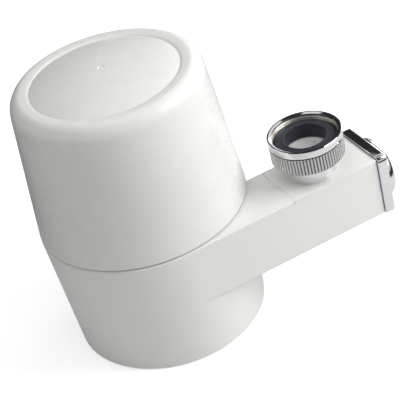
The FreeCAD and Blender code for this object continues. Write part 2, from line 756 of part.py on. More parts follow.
def make_cartridge():
    """Filter candle: moulded base, ceramic dome, carbon core and the ring on its stub."""
    base = new_body("cartridge_base")
    stub_bottom = floor_top + d.stub_foot_gap
    base_bottom = floor_top + d.base_lift
    base_top = base_bottom + d.base_thickness
    rim_inner = ceramic_radius + d.ceramic_play
    ring_level = floor_top + d.socket_rise / 2
    ring_half = d.stub_ring_thickness / 2 + d.stub_groove_play
    ring_floor = d.stub_radius - d.stub_groove_depth
    revolve(base, [
        (d.stub_bore, stub_bottom), (d.stub_radius, stub_bottom), (d.stub_radius, ring_level - ring_half),
        (ring_floor, ring_level - ring_half), (ring_floor, ring_level + ring_half),
        (d.stub_radius, ring_level + ring_half), (d.stub_radius, base_bottom),
        (base_radius, base_bottom), (base_radius, base_top + d.base_rim),
        (rim_inner, base_top + d.base_rim), (rim_inner, base_top), (d.stub_bore, base_top)])
    listed(base, "cartridge_base")
    o_ring("cartridge_seal", ring_floor + (d.socket_radius - ring_floor) / 2, d.stub_ring_thickness,
           (ZERO, ZERO, ring_level))

    shell = new_body("ceramic_shell")
    straight = base_top + d.ceramic_straight
    inner_radius = ceramic_radius - d.ceramic_wall
    inner_dome = d.ceramic_dome - d.ceramic_wall / 2
    revolve(shell, [(inner_radius, base_top), (ceramic_radius, base_top), (ceramic_radius, straight),
                    (ZERO, straight + d.ceramic_dome), (ZERO, straight + inner_dome),
                    (inner_radius, straight)],
            {2: dome_radius(ceramic_radius, d.ceramic_dome), 4: -dome_radius(inner_radius, inner_dome)})
    listed(shell, "ceramic_shell")

    core = new_body("carbon_core")
    core_radius = inner_radius - d.core_play
    core_top = base_top + d.core_height
    revolve(core, [(d.core_bore, base_top), (core_radius, base_top), (core_radius, core_top),
                   (ZERO, core_top), (ZERO, core_top - d.core_bore), (d.core_bore, core_top - d.core_bore)])
    listed(core, "carbon_core")


make_lower_housing()
make_top_cover()
make_arm_top_plate()
make_inlet()
make_knurled_nut()
make_valve()
make_knob()
make_outlets()
make_cartridge()

doc.recompute()
for item in doc.Objects:
    if "Invalid" in item.State or "Error" in item.State:
        raise ValueError(f"{item.Name} did not build: {item.State}")
for item in parts:
    if item.Shape.isNull() or not item.Shape.isValid() or len(item.Shape.Solids) != 1:
        raise ValueError(f"{item.Label} is not one valid solid")

os.makedirs("parts", exist_ok=True)
for item in parts:
    item.Shape.exportStep(f"parts/{item.Label}.step")
    box = item.Shape.BoundBox
    print(f"{item.Label:18s} {item.Shape.Volume / 1000:8.2f} cm3  x {box.XMin:7.2f} {box.XMax:7.2f}"
          f"  y {box.YMin:7.2f} {box.YMax:7.2f}  z {box.ZMin:7.2f} {box.ZMax:7.2f}")
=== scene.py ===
import bmesh
import bpy
import math
from mathutils import Matrix, Vector


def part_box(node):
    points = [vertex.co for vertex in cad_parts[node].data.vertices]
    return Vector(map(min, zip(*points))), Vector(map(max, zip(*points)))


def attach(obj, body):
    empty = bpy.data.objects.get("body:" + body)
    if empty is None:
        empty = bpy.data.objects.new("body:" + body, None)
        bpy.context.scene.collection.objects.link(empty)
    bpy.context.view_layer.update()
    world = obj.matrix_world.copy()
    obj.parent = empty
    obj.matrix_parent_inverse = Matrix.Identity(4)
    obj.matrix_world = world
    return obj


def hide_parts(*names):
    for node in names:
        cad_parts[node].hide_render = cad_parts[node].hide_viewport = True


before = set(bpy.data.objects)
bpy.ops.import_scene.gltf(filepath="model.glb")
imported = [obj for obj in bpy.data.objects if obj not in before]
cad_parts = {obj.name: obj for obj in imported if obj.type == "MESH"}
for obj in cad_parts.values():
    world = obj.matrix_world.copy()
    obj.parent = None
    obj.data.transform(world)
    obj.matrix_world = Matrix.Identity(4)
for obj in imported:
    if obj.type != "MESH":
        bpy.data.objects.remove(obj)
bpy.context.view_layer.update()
bpy.ops.object.select_all(action="DESELECT")

# Piece sizes below are in millimetres, and this turns them into the frame's metres
mm = 0.001


# The photograph's view: a near camera above the front left. It is tilted 15 degrees to one side, so
# the whole object leans over in its picture.
camera_place = Vector((-0.11447, -0.40445, 0.33455))
camera_aim = Vector((0.2640, 0.7799, -0.5674))
camera_roll = math.radians(-15.2)
focal_pixels = 1350.3
photo_pixels = 400
sensor_width = 36.0
nearest_seen = 0.01
camera_data = bpy.data.cameras.new("camera")
camera_data.sensor_width = sensor_width
camera_data.lens = focal_pixels / photo_pixels * sensor_width
camera_data.clip_start = nearest_seen
camera = bpy.data.objects.new("camera", camera_data)
bpy.context.scene.collection.objects.link(camera)
upright = camera_aim.to_track_quat("-Z", "Y").to_matrix().to_4x4()
camera.matrix_world = Matrix.Translation(camera_place) @ upright @ Matrix.Rotation(camera_roll, 4, "Z")
bpy.context.scene.camera = camera
bpy.context.scene.view_settings.view_transform = "Standard"


# Lower housing: one white moulding with the cup, its screw neck and the hollow arm, whose root fades
# into the cup's taper. The skin has the fine grain of an eroded mould, and is a little wavy where
# thick walls cooled.
class Shade:
    """A value that changes over a surface: one output of a finish, used in plain sums."""

    def __init__(self, finish, socket):
        self.finish = finish
        self.socket = socket

    def sum(self, operation, first, second):
        return self.finish.add("Math", {"operation": operation}, {0: first, 1: second})

    def __add__(self, other):
        return self.sum("ADD", self, other)

    def __sub__(self, other):
        return self.sum("SUBTRACT", self, other)

    def __rsub__(self, other):
        return self.sum("SUBTRACT", other, self)

    def __mul__(self, other):
        return self.sum("MULTIPLY", self, other)

    __radd__ = __add__
    __rmul__ = __mul__


class Finish:
    """A material and its nodes. Patterns lie on the object's own coordinates, in metres."""

    def __init__(self, name):
        self.material = bpy.data.materials.new(name)
        self.material.use_nodes = True
        self.tree = self.material.node_tree
        self.tree.nodes.clear()
        self.output = self.tree.nodes.new("ShaderNodeOutputMaterial")
        self.coordinates = self.add("TexCoord", output="Object")

    def add(self, kind, settings=None, sockets=None, output=0):
        node = self.tree.nodes.new("ShaderNode" + kind)
        for field, setting in (settings or {}).items():
            if field == "stops":
                self.set_stops(node.color_ramp, setting)
            else:
                setattr(node, field, setting)
        for socket, value in (sockets or {}).items():
            if isinstance(value, Shade):
                self.tree.links.new(value.socket, node.inputs[socket])
            else:
                node.inputs[socket].default_value = value
        return Shade(self, node.outputs[output])

    def set_stops(self, ramp, stops):
        while len(ramp.elements) < len(stops):
            ramp.elements.new(0.5)
        for element, (place, colour) in zip(ramp.elements, stops):
            element.position = place
            element.color = (*colour, 1.0)

    def noise(self, per_metre, detail=2.0, stretch=(1.0, 1.0, 1.0)):
        where = self.add("Mapping", {}, {"Vector": self.coordinates, "Scale": stretch})
        return self.add("TexNoise", {}, {"Vector": where, "Scale": per_metre, "Detail": detail})

    def mix(self, factor, first, second):
        def colour(value):
            return value if isinstance(value, Shade) else (*value, 1.0)
        return self.add("Mix", {"data_type": "RGBA"}, {0: factor, 6: colour(first), 7: colour(second)}, 2)

    def relief(self, height):
        """Bumps of that height in metres."""
        return self.add("Bump", {}, {"Height": height, "Distance": 1.0})

    def surface(self, shader):
        self.tree.links.new(shader.socket, self.output.inputs["Surface"])
        return self.material


def moulded_plastic(name, colour, roughness, grain_depth=0.005, wave_depth=0.02, cloud_shade=0.965):
    """Moulded plastic: faint flow clouds, slow waves in the gloss and a fine mould grain. Depths are
    in millimetres, and the clouds' shade is a share of the colour."""
    finish = Finish(name)
    cloud = finish.noise(35.0, 3.0)
    wave = finish.noise(140.0, 1.0)
    grain = finish.noise(3000.0, 2.0)
    shaded = [channel * cloud_shade for channel in colour]
    return finish.surface(finish.add("BsdfPrincipled", {}, {
        "Base Color": finish.mix(cloud, shaded, colour),
        "Roughness": roughness + (cloud - 0.5) * 0.12 + (grain - 0.5) * 0.08,
        "Normal": finish.relief(wave * (wave_depth * mm) + grain * (grain_depth * mm)),
        "IOR": 1.49,
    }))


def dress(material, *nodes):
    """Gives nodes of the frame their finish."""
    for node in nodes:
        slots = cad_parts[node].data.materials
        slots.clear()
        slots.append(material)


housing_white = (0.865, 0.861, 0.838)
housing_finish = moulded_plastic("housing plastic", housing_white, 0.32)
smooth_angle = math.radians(32.0)
foot_radius = 37.0
cup_radius = 40.0
seam_height = 50.5

# The arm's root, which is pressed back to the taper: its near face and where it starts and ends
arm_front = -40.0
arm_blend = 10.0
root_low = 25.75
root_high = 49.0
root_end = 0.01
least_press = 0.004

# Points nearer than this are one and the same
near = 0.002 * mm


def select_points(wanted):
    """In edit mode, selects the points whose place is wanted, and the edges and faces between them."""
    mesh = bmesh.from_edit_mesh(bpy.context.object.data)
    for point in mesh.verts:
        point.select_set(False)
    for point in mesh.verts:
        if wanted(point.co):
            point.select_set(True)
    mesh.select_flush(True)
    bmesh.update_edit_mesh(bpy.context.object.data)


def cup_reach(height):
    """The tapered cup's radius at a height above the floor."""
    return foot_radius + (cup_radius - foot_radius) * height / seam_height


def stands_proud(point):
    """Whether a point of the arm's root stands out from the cup's taper, on the near side."""
    x, y, z = point / mm
    beside_cup = x < root_end and y < arm_front + arm_blend and root_low < z < root_high
    return beside_cup and point.xy.length / mm > cup_reach(z) + least_press


def finish_piece(piece, material, body):
    """Gives a new piece its finish and the body it moves with."""
    piece.data.materials.append(material)
    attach(piece, body)
    bpy.ops.object.select_all(action="DESELECT")


housing = bpy.data.objects.new("moulded_housing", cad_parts["lower_housing"].data.copy())
housing.data.name = housing.name
housing.data.materials.clear()
bpy.context.scene.collection.objects.link(housing)
bpy.context.view_layer.objects.active = housing
housing.select_set(True)
bpy.ops.mesh.customdata_custom_splitnormals_clear()
bpy.ops.object.mode_set(mode="EDIT")
bpy.ops.mesh.select_all(action="SELECT")
bpy.ops.mesh.remove_doubles(threshold=near)
root_rings = {(round(point.co.xy.length / mm, 3), round(point.co.z / mm, 3))
              for point in bmesh.from_edit_mesh(housing.data).verts if stands_proud(point.co)}
for reach, height in sorted(root_rings):
    select_points(lambda point: stands_proud(point) and abs(point.xy.length - reach * mm) < near
                  and abs(point.z - height * mm) < near)
    press = cup_reach(height) / reach
    bpy.ops.transform.resize(value=(press, press, 1.0), center_override=(0.0, 0.0, 0.0))
bpy.ops.mesh.select_all(action="SELECT")
bpy.ops.mesh.dissolve_degenerate(threshold=near)
bpy.ops.object.mode_set(mode="OBJECT")
bpy.ops.object.shade_smooth_by_angle(angle=smooth_angle)
even = housing.modifiers.new("even shading", "WEIGHTED_NORMAL")
even.keep_sharp = True
bpy.ops.object.modifier_apply(modifier=even.name)
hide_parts("lower_housing")
finish_piece(housing, housing_finish, "housing")


# Neck thread: a round-topped ridge moulded round the neck, on which the cover screws.
# It starts above the sealing band and stops short of the neck's top edge.
neck_radius = 36.6
thread_pitch = 3.0
neck_thread_start = 55.6
neck_thread_turns = 1.45
thread_depth = 0.6
thread_half_width = 0.75
thread_smooth = math.radians(50.0)


def screw_thread(name, radius, start, pitch, turns, depth, half_width, steps=96, points=10):
    """A thread about the Z axis: the ridge's oval section, swept up a helix and closed at its ends."""
    bpy.ops.mesh.primitive_circle_add(
        vertices=points, radius=depth * mm, location=(radius * mm, 0.0, start * mm),
        rotation=(math.pi / 2, 0.0, 0.0), scale=(1.0, half_width / depth, 1.0))
    piece = bpy.context.object
    piece.name = piece.data.name = name
    bpy.ops.object.transform_apply(location=True, rotation=True, scale=True)
    sweep = piece.modifiers.new("sweep", "SCREW")
    sweep.angle = math.tau * turns
    sweep.screw_offset = pitch * mm * turns
    sweep.steps = sweep.render_steps = round(steps * turns)
    bpy.ops.object.modifier_apply(modifier=sweep.name)
    bpy.ops.object.mode_set(mode="EDIT")
    bpy.ops.mesh.select_all(action="SELECT")
    bpy.ops.mesh.fill_holes(sides=points)
    bpy.ops.mesh.normals_make_consistent(inside=False)
    bpy.ops.object.mode_set(mode="OBJECT")
    bpy.ops.object.shade_smooth_by_angle(angle=thread_smooth)
    return piece


neck_thread = screw_thread("neck_thread", neck_radius, neck_thread_start, thread_pitch,
                           neck_thread_turns, thread_depth, thread_half_width)
finish_piece(neck_thread, housing_finish, "housing")


# Filter candle in the housing: a moulded base, a hollow ceramic dome and a block of pressed carbon.
# The ceramic is fired and left unglazed, so it is chalky, with pores and a few brown specks.
def fired_ceramic(name):
    """Unglazed ceramic: cloudy pale clay with open pores and brown specks."""
    finish = Finish(name)
    cloud = finish.noise(60.0, 4.0)
    pores = finish.add("TexVoronoi", {}, {"Vector": finish.coordinates, "Scale": 1400.0})
    speck = finish.add("ValToRGB", {"stops": [(0.28, (1.0,) * 3), (0.34, (0.0,) * 3)]},
                       {"Fac": finish.noise(700.0, 1.0)})
    clay = finish.mix(cloud, (0.74, 0.71, 0.65), (0.82, 0.80, 0.75))
    return finish.surface(finish.add("BsdfPrincipled", {}, {
        "Base Color": finish.mix(speck, clay, (0.42, 0.34, 0.25)),
        "Roughness": 0.82 + cloud * 0.12,
        "Normal": finish.relief(pores * (0.05 * mm) + cloud * (0.1 * mm)),
    }))


def pressed_carbon(name, per_metre=1100.0):
    """Pressed carbon: black grains, each of its own shade, with gaps between them."""
    finish = Finish(name)
    grains = finish.add("TexVoronoi", {}, {"Vector": finish.coordinates, "Scale": per_metre}, "Color")
    depth = finish.add("TexVoronoi", {}, {"Vector": finish.coordinates, "Scale": per_metre})
    return finish.surface(finish.add("BsdfPrincipled", {}, {
        "Base Color": finish.mix(grains, (0.008, 0.008, 0.009), (0.035, 0.035, 0.038)),
        "Roughness": 0.55 + depth * 0.4,
        "Normal": finish.relief(depth * (-0.2 * mm)),
    }))


def black_rubber(name):
    """Black rubber with a blue cast and a bloom, matt from its moulded grain."""
    finish = Finish(name)
    bloom = finish.noise(220.0, 4.0)
    grain = finish.noise(1800.0, 3.0)
    return finish.surface(finish.add("BsdfPrincipled", {}, {
        "Base Color": finish.mix(bloom, (0.015, 0.016, 0.023), (0.033, 0.034, 0.047)),
        "Roughness": 0.40 + grain * 0.2 + bloom * 0.08,
        "Normal": finish.relief(grain * (0.012 * mm)),
    }))


pale_finish = moulded_plastic("pale plastic", (0.70, 0.71, 0.71), 0.42)
rubber_finish = black_rubber("black rubber")
dress(pale_finish, "cartridge_base")
dress(fired_ceramic("fired ceramic"), "ceramic_shell")
dress(pressed_carbon("pressed carbon"), "carbon_core")
dress(rubber_finish, "cartridge_seal", "cover_seal")


# Top cover: a tapered white cap with a rounded shoulder, a flat ring and a shallow dome in a dish.
# It is moulded from one gate, whose cut stub sits in a dimple at the middle of the dome. It screws
# on the neck's thread.
cover_radius = 40.0
cover_height = 56.5
cover_top_radius = 35.2
cover_wall = 2.6
cover_round = 6.5
cover_lip_round = 0.35
dish_radius = 28.6
dish_slope = 0.9
dish_round = 0.4
ring_edge = 30.8
ring_drop = 0.2
dish_depth = 0.45
dome_rise = 3.6
gate_radius = 1.35
gate_depth = 0.3
gate_flank = 0.25
gate_step = 0.01
gate_stub = 0.5
stub_tip = 0.18
stub_edge = 0.16
stub_slope = 0.1
stub_round = 0.05
cover_thread_depth = 0.5
cover_thread_turns = 1.6
cover_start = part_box("top_cover")[0].z / mm


def eased(corners, steps=6):
    """An outline of (radius, height) points. A corner's third number is how far it is rounded."""
    outline = []
    for before, corner, after in zip(corners[-1:] + corners[:-1], corners, corners[1:] + corners[:1]):
        place = Vector(corner[:2])
        if len(corner) == 2:
            outline.append(tuple(place))
            continue
        back = (Vector(before[:2]) - place).normalized()
        onward = (Vector(after[:2]) - place).normalized()
        half = back.angle(onward) / 2
        middle = place + (back + onward).normalized() * (corner[2] / math.sin(half))
        spoke = place + back * (corner[2] / math.tan(half)) - middle
        way = math.copysign(1.0, back.x * onward.y - back.y * onward.x)
        for step in range(steps + 1):
            turn = way * (math.tau / 2 - 2 * half) * step / steps
            outline.append(tuple(middle + Matrix.Rotation(-turn, 2) @ spoke))
    return outline


def turned(name, outline, place=(0.0, 0.0, 0.0), along=(0.0, 0.0, 0.0), segments=128):
    """A piece of revolution, drawn ring by ring from its first circle. An outline whose ends lie on
    the axis is closed there, and any other joins up with its start."""
    rings = [corner for corner in outline if corner[0] > 0.0]
    closed = len(rings) == len(outline)
    radius, height = rings[0]
    bpy.ops.mesh.primitive_circle_add(vertices=segments, radius=radius * mm,
                                      location=(0.0, 0.0, height * mm))
    piece = bpy.context.object
    piece.name = piece.data.name = name
    bpy.ops.object.transform_apply(location=True, rotation=True, scale=True)
    bpy.ops.object.mode_set(mode="EDIT")
    for next_radius, next_height in rings[1:] + rings[:1] * closed:
        bpy.ops.mesh.extrude_region()
        widen = next_radius / radius
        bpy.ops.transform.resize(value=(widen, widen, 1.0), center_override=(0.0, 0.0, 0.0))
        bpy.ops.transform.translate(value=(0.0, 0.0, (next_height - height) * mm))
        radius, height = next_radius, next_height
    if not closed:
        for (radius, height), (_, pole) in ((rings[-1], outline[-1]), (rings[0], outline[0])):
            select_points(lambda point: abs(point.z - height * mm) < near
                          and abs(point.xy.length - radius * mm) < near)
            bpy.ops.mesh.extrude_region()
            bpy.ops.transform.translate(value=(0.0, 0.0, (pole - height) * mm))
            bpy.ops.mesh.merge(type="CENTER")
    bpy.ops.mesh.select_all(action="SELECT")
    bpy.ops.mesh.remove_doubles(threshold=near)
    bpy.ops.mesh.normals_make_consistent(inside=False)
    bpy.ops.object.mode_set(mode="OBJECT")
    piece.rotation_euler = along
    piece.location = Vector(place) * mm
    bpy.ops.object.transform_apply(location=True, rotation=True, scale=True)
    bpy.ops.object.shade_smooth_by_angle(angle=smooth_angle)
    return piece


def dome(edge, rise, radii):
    """Points of a shallow dome with that rim radius and rise, at the given distances from its axis."""
    sphere = (edge ** 2 + rise ** 2) / (2 * rise)
    return [(radius, rise - sphere + math.sqrt(sphere ** 2 - radius ** 2)) for radius in radii]


def raised(points, lift):
    """The same points, higher by the lift."""
    return [(radius, height + lift) for radius, height in points]


cover_slope = (cover_radius - cover_top_radius) / cover_height
bore = 37.4
bore_round = 0.3
ledge = 11.8
groove_low = 1.9
groove_high = 3.7
groove_depth = 1.0
dish_level = cover_height - dish_depth
ceiling = dish_level - cover_wall
ceiling_round = 4.0
dish_edge = dish_radius - dish_slope
inner_dome = dish_edge - cover_wall / 2
inner_round = 0.8
dome_steps = 14
inner_steps = 6
dome_rings = [dish_edge * step / dome_steps for step in range(1, dome_steps)]
inner_rings = [inner_dome * step / inner_steps for step in range(inner_steps - 1, 0, -1)]
gate_level = dish_level + dome_rise - gate_depth
shoulder_turn = math.radians(84.0)
shoulder_steps = 12
shoulder_turns = [shoulder_turn * step / shoulder_steps for step in range(shoulder_steps + 1)]
shoulder_drop = cover_round * (1.0 - math.cos(shoulder_turn))
shoulder_reach = cover_top_radius + cover_slope * shoulder_drop - ring_edge
shoulder = [(ring_edge + shoulder_reach * math.sin(turn) / math.sin(shoulder_turn),
             cover_height - cover_round * (1.0 - math.cos(turn))) for turn in shoulder_turns]
cover_outline = [(0.0, gate_level + stub_tip)] + eased([
    (gate_stub - stub_slope, gate_level + stub_edge), (gate_stub, gate_level, stub_round),
    (gate_radius - gate_flank, gate_level), (gate_radius, gate_level + gate_depth - gate_step)])
cover_outline += raised(dome(dish_edge, dome_rise, dome_rings), dish_level)
cover_outline += eased([
    (dish_edge, dish_level, dish_round), (dish_radius, cover_height - ring_drop, dish_round), *shoulder,
    (cover_radius, 0.0, cover_lip_round), (bore, 0.0, bore_round),
    (bore, groove_low), (bore + groove_depth, groove_low), (bore + groove_depth, groove_high),
    (bore, groove_high), (bore, ledge), (bore - cover_slope * ledge, ledge),
    (bore - cover_slope * ceiling, ceiling, ceiling_round), (inner_dome, ceiling, inner_round)])
cover_outline += raised(dome(inner_dome, dome_rise, inner_rings), ceiling)
cover_outline += [(0.0, ceiling + dome_rise)]
cover_finish = moulded_plastic("cover plastic", housing_white, 0.27, 0.003)
cover = turned("cover_shell", cover_outline, (0.0, 0.0, cover_start), segments=192)
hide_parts("top_cover")
finish_piece(cover, cover_finish, "cover")

cover_thread = screw_thread("cover_thread", bore, neck_thread_start + thread_pitch / 2, thread_pitch,
                            cover_thread_turns, cover_thread_depth, thread_half_width)
finish_piece(cover_thread, cover_finish, "cover")


# Valve in the arm: a moulded body that a turned brass plug with two rubber rings turns in.
# A brass gland, screwed in from the arm's end, keeps the plug in place.
def turned_metal(name, dark, light, roughness):
    """Turned metal whose axis lies along the arm: fine tool marks run round it."""
    finish = Finish(name)
    marks = finish.noise(1.0, 2.0, stretch=(5200.0, 18.0, 18.0))
    stain = finish.noise(180.0, 3.0)
    return finish.surface(finish.add("BsdfPrincipled", {}, {
        "Base Color": finish.mix(stain, dark, light),
        "Metallic": 1.0,
        "Roughness": roughness + marks * 0.14 + stain * 0.06,
        "Normal": finish.relief(marks * (0.006 * mm)),
    }))


brass_finish = turned_metal("turned brass", (0.62, 0.44, 0.19), (0.78, 0.60, 0.30), 0.22)
steel_finish = turned_metal("screw steel", (0.52, 0.52, 0.53), (0.68, 0.68, 0.69), 0.24)
grey_finish = moulded_plastic("grey plastic", (0.36, 0.37, 0.38), 0.45)
dress(grey_finish, "valve_body")
dress(rubber_finish, "valve_seal", "spindle_ring_inner", "spindle_ring_outer")
dress(brass_finish, "valve_gland", "valve_spindle")
dress(steel_finish, "knob_screw")


# Plate on the arm: a flat white moulding, glued flush over the valve, with a hole for the inlet.
# Its long edges carry on the arm's rounding, and a fine seam shows where it meets the housing.
plate_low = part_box("arm_top_plate")[0] / mm
plate_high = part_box("arm_top_plate")[1] / mm
plate_reach = 0.32
plate_hole = 7.98
drill_reach = 5.0
arm_edge = 0.7
seam_edge = 0.22
flush = 0.01
arm_y = -27.7
inlet = (58.4, arm_y)


def block(name, low, high):
    """A plain block between two corners, as a start."""
    bpy.ops.mesh.primitive_cube_add(size=1.0, location=(low + high) / 2 * mm)
    piece = bpy.context.object
    piece.name = piece.data.name = name
    piece.scale = (high - low) * mm
    bpy.ops.object.transform_apply(location=True, rotation=True, scale=True)
    return piece


def round_block(piece, radius, wanted, segments):
    """Rounds the edges of a piece whose two points are wanted."""
    bpy.context.view_layer.objects.active = piece
    bpy.ops.object.mode_set(mode="EDIT")
    mesh = bmesh.from_edit_mesh(piece.data)
    for edge in mesh.edges:
        edge.select_set(False)
    for edge in mesh.edges:
        if wanted(*[point.co / mm for point in edge.verts]):
            edge.select_set(True)
    bmesh.update_edit_mesh(piece.data)
    bpy.ops.mesh.bevel(offset=radius * mm, segments=segments, affect="EDGES", clamp_overlap=False)
    bpy.ops.object.mode_set(mode="OBJECT")


def combine(piece, other, way):
    """Joins a second solid to a piece, or cuts it away, and removes it."""
    tool = piece.modifiers.new(way, "BOOLEAN")
    tool.operation = way
    tool.object = other
    tool.solver = "EXACT"
    bpy.context.view_layer.objects.active = piece
    bpy.ops.object.modifier_apply(modifier=tool.name)
    bpy.data.objects.remove(other)
    bpy.ops.object.select_all(action="DESELECT")
    piece.select_set(True)
    bpy.ops.object.shade_smooth_by_angle(angle=smooth_angle)


def level(first, second, axis, value):
    """Whether both ends of an edge lie at that value of an axis."""
    return abs(first[axis] - value) < flush and abs(second[axis] - value) < flush


plate_low.x -= plate_reach
plate = block("arm_plate", plate_low, plate_high)
round_block(plate, arm_edge, lambda first, second: level(first, second, 2, plate_high.z)
            and abs(first.x - second.x) > arm_edge, 6)
round_block(plate, seam_edge, lambda first, second: level(first, second, 0, plate_low.x)
            and max(first.z, second.z) > plate_high.z - arm_edge - flush, 3)
drill = turned("drill", [(0.0, -drill_reach), (plate_hole, -drill_reach),
                         (plate_hole, drill_reach), (0.0, drill_reach)], (*inlet, plate_high.z))
combine(plate, drill, "DIFFERENCE")
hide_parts("arm_top_plate")
finish_piece(plate, housing_finish, "housing")


# Inlet: a flanged tube pressed down through the plate, plated bright like the nut that turns on it.
# A moulded strainer lies in its flange, and a thick rubber washer seals the flange to the tap.
plate_top = plate_high.z
collar_radius = 9.5
flange_radius = 11.7
flange_bottom = 8.4
flange_top = 9.6
strainer_radius = 9.25
strainer_seat = 8.1
inlet_bore = 6.0
spigot_radius = 7.9
spigot_bottom = -5.4
spigot_round = 0.4
collar_round = 0.25
flange_round = 0.2
seat_round = 0.3
cloth_radius = 8.6
cloth_lift = 1.03


def chrome_plate(name):
    """Bright plate: a clear mirror with soft polishing waves and faint wiping marks."""
    finish = Finish(name)
    haze = finish.noise(170.0, 3.0)
    wave = finish.noise(260.0, 1.0)
    wipe = finish.noise(1.0, 2.0, stretch=(260.0, 260.0, 3600.0))
    return finish.surface(finish.add("BsdfPrincipled", {}, {
        "Base Color": finish.mix(haze, (0.80, 0.81, 0.82), (0.86, 0.87, 0.88)),
        "Metallic": 1.0,
        "Roughness": 0.04 + haze * 0.06 + wipe * 0.05,
        "Normal": finish.relief(wave * (0.012 * mm) + wipe * (0.0006 * mm)),
    }))


chrome_finish = chrome_plate("chrome plate")
inlet_tube = turned("inlet_tube", eased([
    (inlet_bore, spigot_bottom), (spigot_radius, spigot_bottom, spigot_round), (spigot_radius, 0.0),
    (collar_radius, 0.0, collar_round), (collar_radius, flange_bottom, flange_round),
    (flange_radius, flange_bottom, flange_round), (flange_radius, flange_top, flange_round),
    (strainer_radius, flange_top), (strainer_radius, strainer_seat),
    (inlet_bore, strainer_seat, seat_round)]), (*inlet, plate_top), segments=96)
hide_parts("inlet_fitting")
finish_piece(inlet_tube, chrome_finish, "housing")

white_moulding = moulded_plastic("strainer plastic", (0.80, 0.81, 0.80), 0.35)
dress(white_moulding, "inlet_screen", "outlet_screen")


def wire_cloth(name, radius, place, wire=0.17, mesh=0.3):
    """Woven strainer cloth: a flat grid cut to a disc, whose lines become thin wires."""
    count = round(2 * radius / mesh)
    bpy.ops.mesh.primitive_grid_add(x_subdivisions=count, y_subdivisions=count, size=2 * radius * mm)
    piece = bpy.context.object
    piece.name = piece.data.name = name
    bpy.ops.object.mode_set(mode="EDIT")
    select_points(lambda point: point.length > radius * mm)
    bpy.ops.mesh.delete(type="VERT")
    bpy.ops.object.mode_set(mode="OBJECT")
    wires = piece.modifiers.new("wires", "WIREFRAME")
    wires.thickness = wire * mm
    wires.use_even_offset = False
    bpy.ops.object.modifier_apply(modifier=wires.name)
    piece.location = Vector(place) * mm
    bpy.ops.object.transform_apply(location=True, rotation=True, scale=True)
    return piece


inlet_cloth = wire_cloth("inlet_cloth", cloth_radius, (*inlet, plate_top + strainer_seat + cloth_lift))
finish_piece(inlet_cloth, white_moulding, "housing")

washer_hole = 7.8
washer_radius = 11.5
washer_top = 5.65
washer_face = 5.4
washer_round = 0.45
washer_base_round = 0.3
hole_round = 0.3
hole_base_round = 0.2
bead_width = 0.75
bead_slope = 0.15
bead_round = 0.12
bead_foot_round = 0.1
inlet_washer = turned("tap_washer", eased([
    (washer_hole, 0.0, hole_base_round), (washer_radius, 0.0, washer_base_round),
    (washer_radius, washer_face, washer_round),
    (washer_hole + bead_width + bead_slope, washer_face, bead_foot_round),
    (washer_hole + bead_width, washer_top, bead_round),
    (washer_hole, washer_top, hole_round)]), (*inlet, plate_top + flange_top), segments=96)
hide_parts("inlet_washer")
finish_piece(inlet_washer, rubber_finish, "housing")


# Swivel nut: turned and plated, with a fluted band for the fingers under a plain bright ring.
# Its inside is threaded for the tap down to a relief, and a flare leads the thread in.
nut_bottom = 57.4
nut_outside = 13.848
nut_neck = 9.8
nut_shoulder = 1.2
nut_chamfer = 0.5
nut_round = 0.15
chamfer_round = 0.1
band_top = 6.9
groove_top = 7.35
groove_radius = 13.35
groove_round = 0.12
nut_top = 10.1
lip = 0.12
land = 0.5
mouth_round = 0.06
flare = 0.5
thread_crest = 12.0
thread_root = 12.4
tap_pitch = 0.85
tap_thread_start = 3.2
tap_thread_turns = 7.0
tap_thread_half_width = 0.34
flutes = 72
steps_per_flute = 8
flute_depths = {0: 0.45, 1: 0.24, 2: 0.05}
fluted_beyond = groove_radius + 0.25
flute_smooth = math.radians(38.0)
nut_axis = Vector((inlet[0] * mm, inlet[1] * mm, 0.0))


def fluted_chrome(name, flute_shade_reach=0.44, outer_skin=(13.0, 13.2), band_edge=0.02):
    """Bright plate like the other pieces', with painted shade down in the flutes, and greyer on the fluted
    band. How far in from the outside the painted flute shade reaches, the radii where the outside begins
    and half the band's edge are in millimetres."""
    finish = Finish(name)
    haze = finish.noise(170.0, 3.0)
    wave = finish.noise(260.0, 1.0)
    centred = finish.add("Mapping", {}, {"Vector": finish.coordinates, "Location": -nut_axis})
    flat = finish.add("VectorMath", {"operation": "MULTIPLY"}, {0: centred, 1: (1.0, 1.0, 0.0)})
    radius = finish.add("VectorMath", {"operation": "LENGTH"}, {0: flat}, "Value")
    height = finish.add("SeparateXYZ", {}, {0: centred}, "Z")
    # Painted shade: full at the bottom of a flute and none at the outside, darkening the band's colour
    painted_flute_shade = finish.add("MapRange", {}, {"Value": radius, "From Min": nut_outside * mm,
                                       "From Max": (nut_outside - flute_shade_reach) * mm})
    outer = finish.add("MapRange", {}, {"Value": radius, "From Min": outer_skin[0] * mm,
                                        "From Max": outer_skin[1] * mm})
    under = (nut_bottom + groove_top) * mm
    band = finish.add("MapRange", {}, {"Value": height, "From Min": under + band_edge * mm,
                                       "From Max": under - band_edge * mm}) * outer
    plate_colour = finish.mix(haze, (0.80, 0.81, 0.82), (0.86, 0.87, 0.88))
    grey = finish.mix(band, plate_colour, (0.68, 0.68, 0.68))
    return finish.surface(finish.add("BsdfPrincipled", {}, {
        # The painted flute shade takes the band's colour down to this dark grey
        "Base Color": finish.mix(painted_flute_shade * band, grey, (0.16, 0.16, 0.16)),
        "Metallic": 1.0 - band * 0.28,
        "Roughness": 0.05 + haze * 0.06 + band * 0.18,
        "Normal": finish.relief(wave * (0.012 * mm)),
    }))


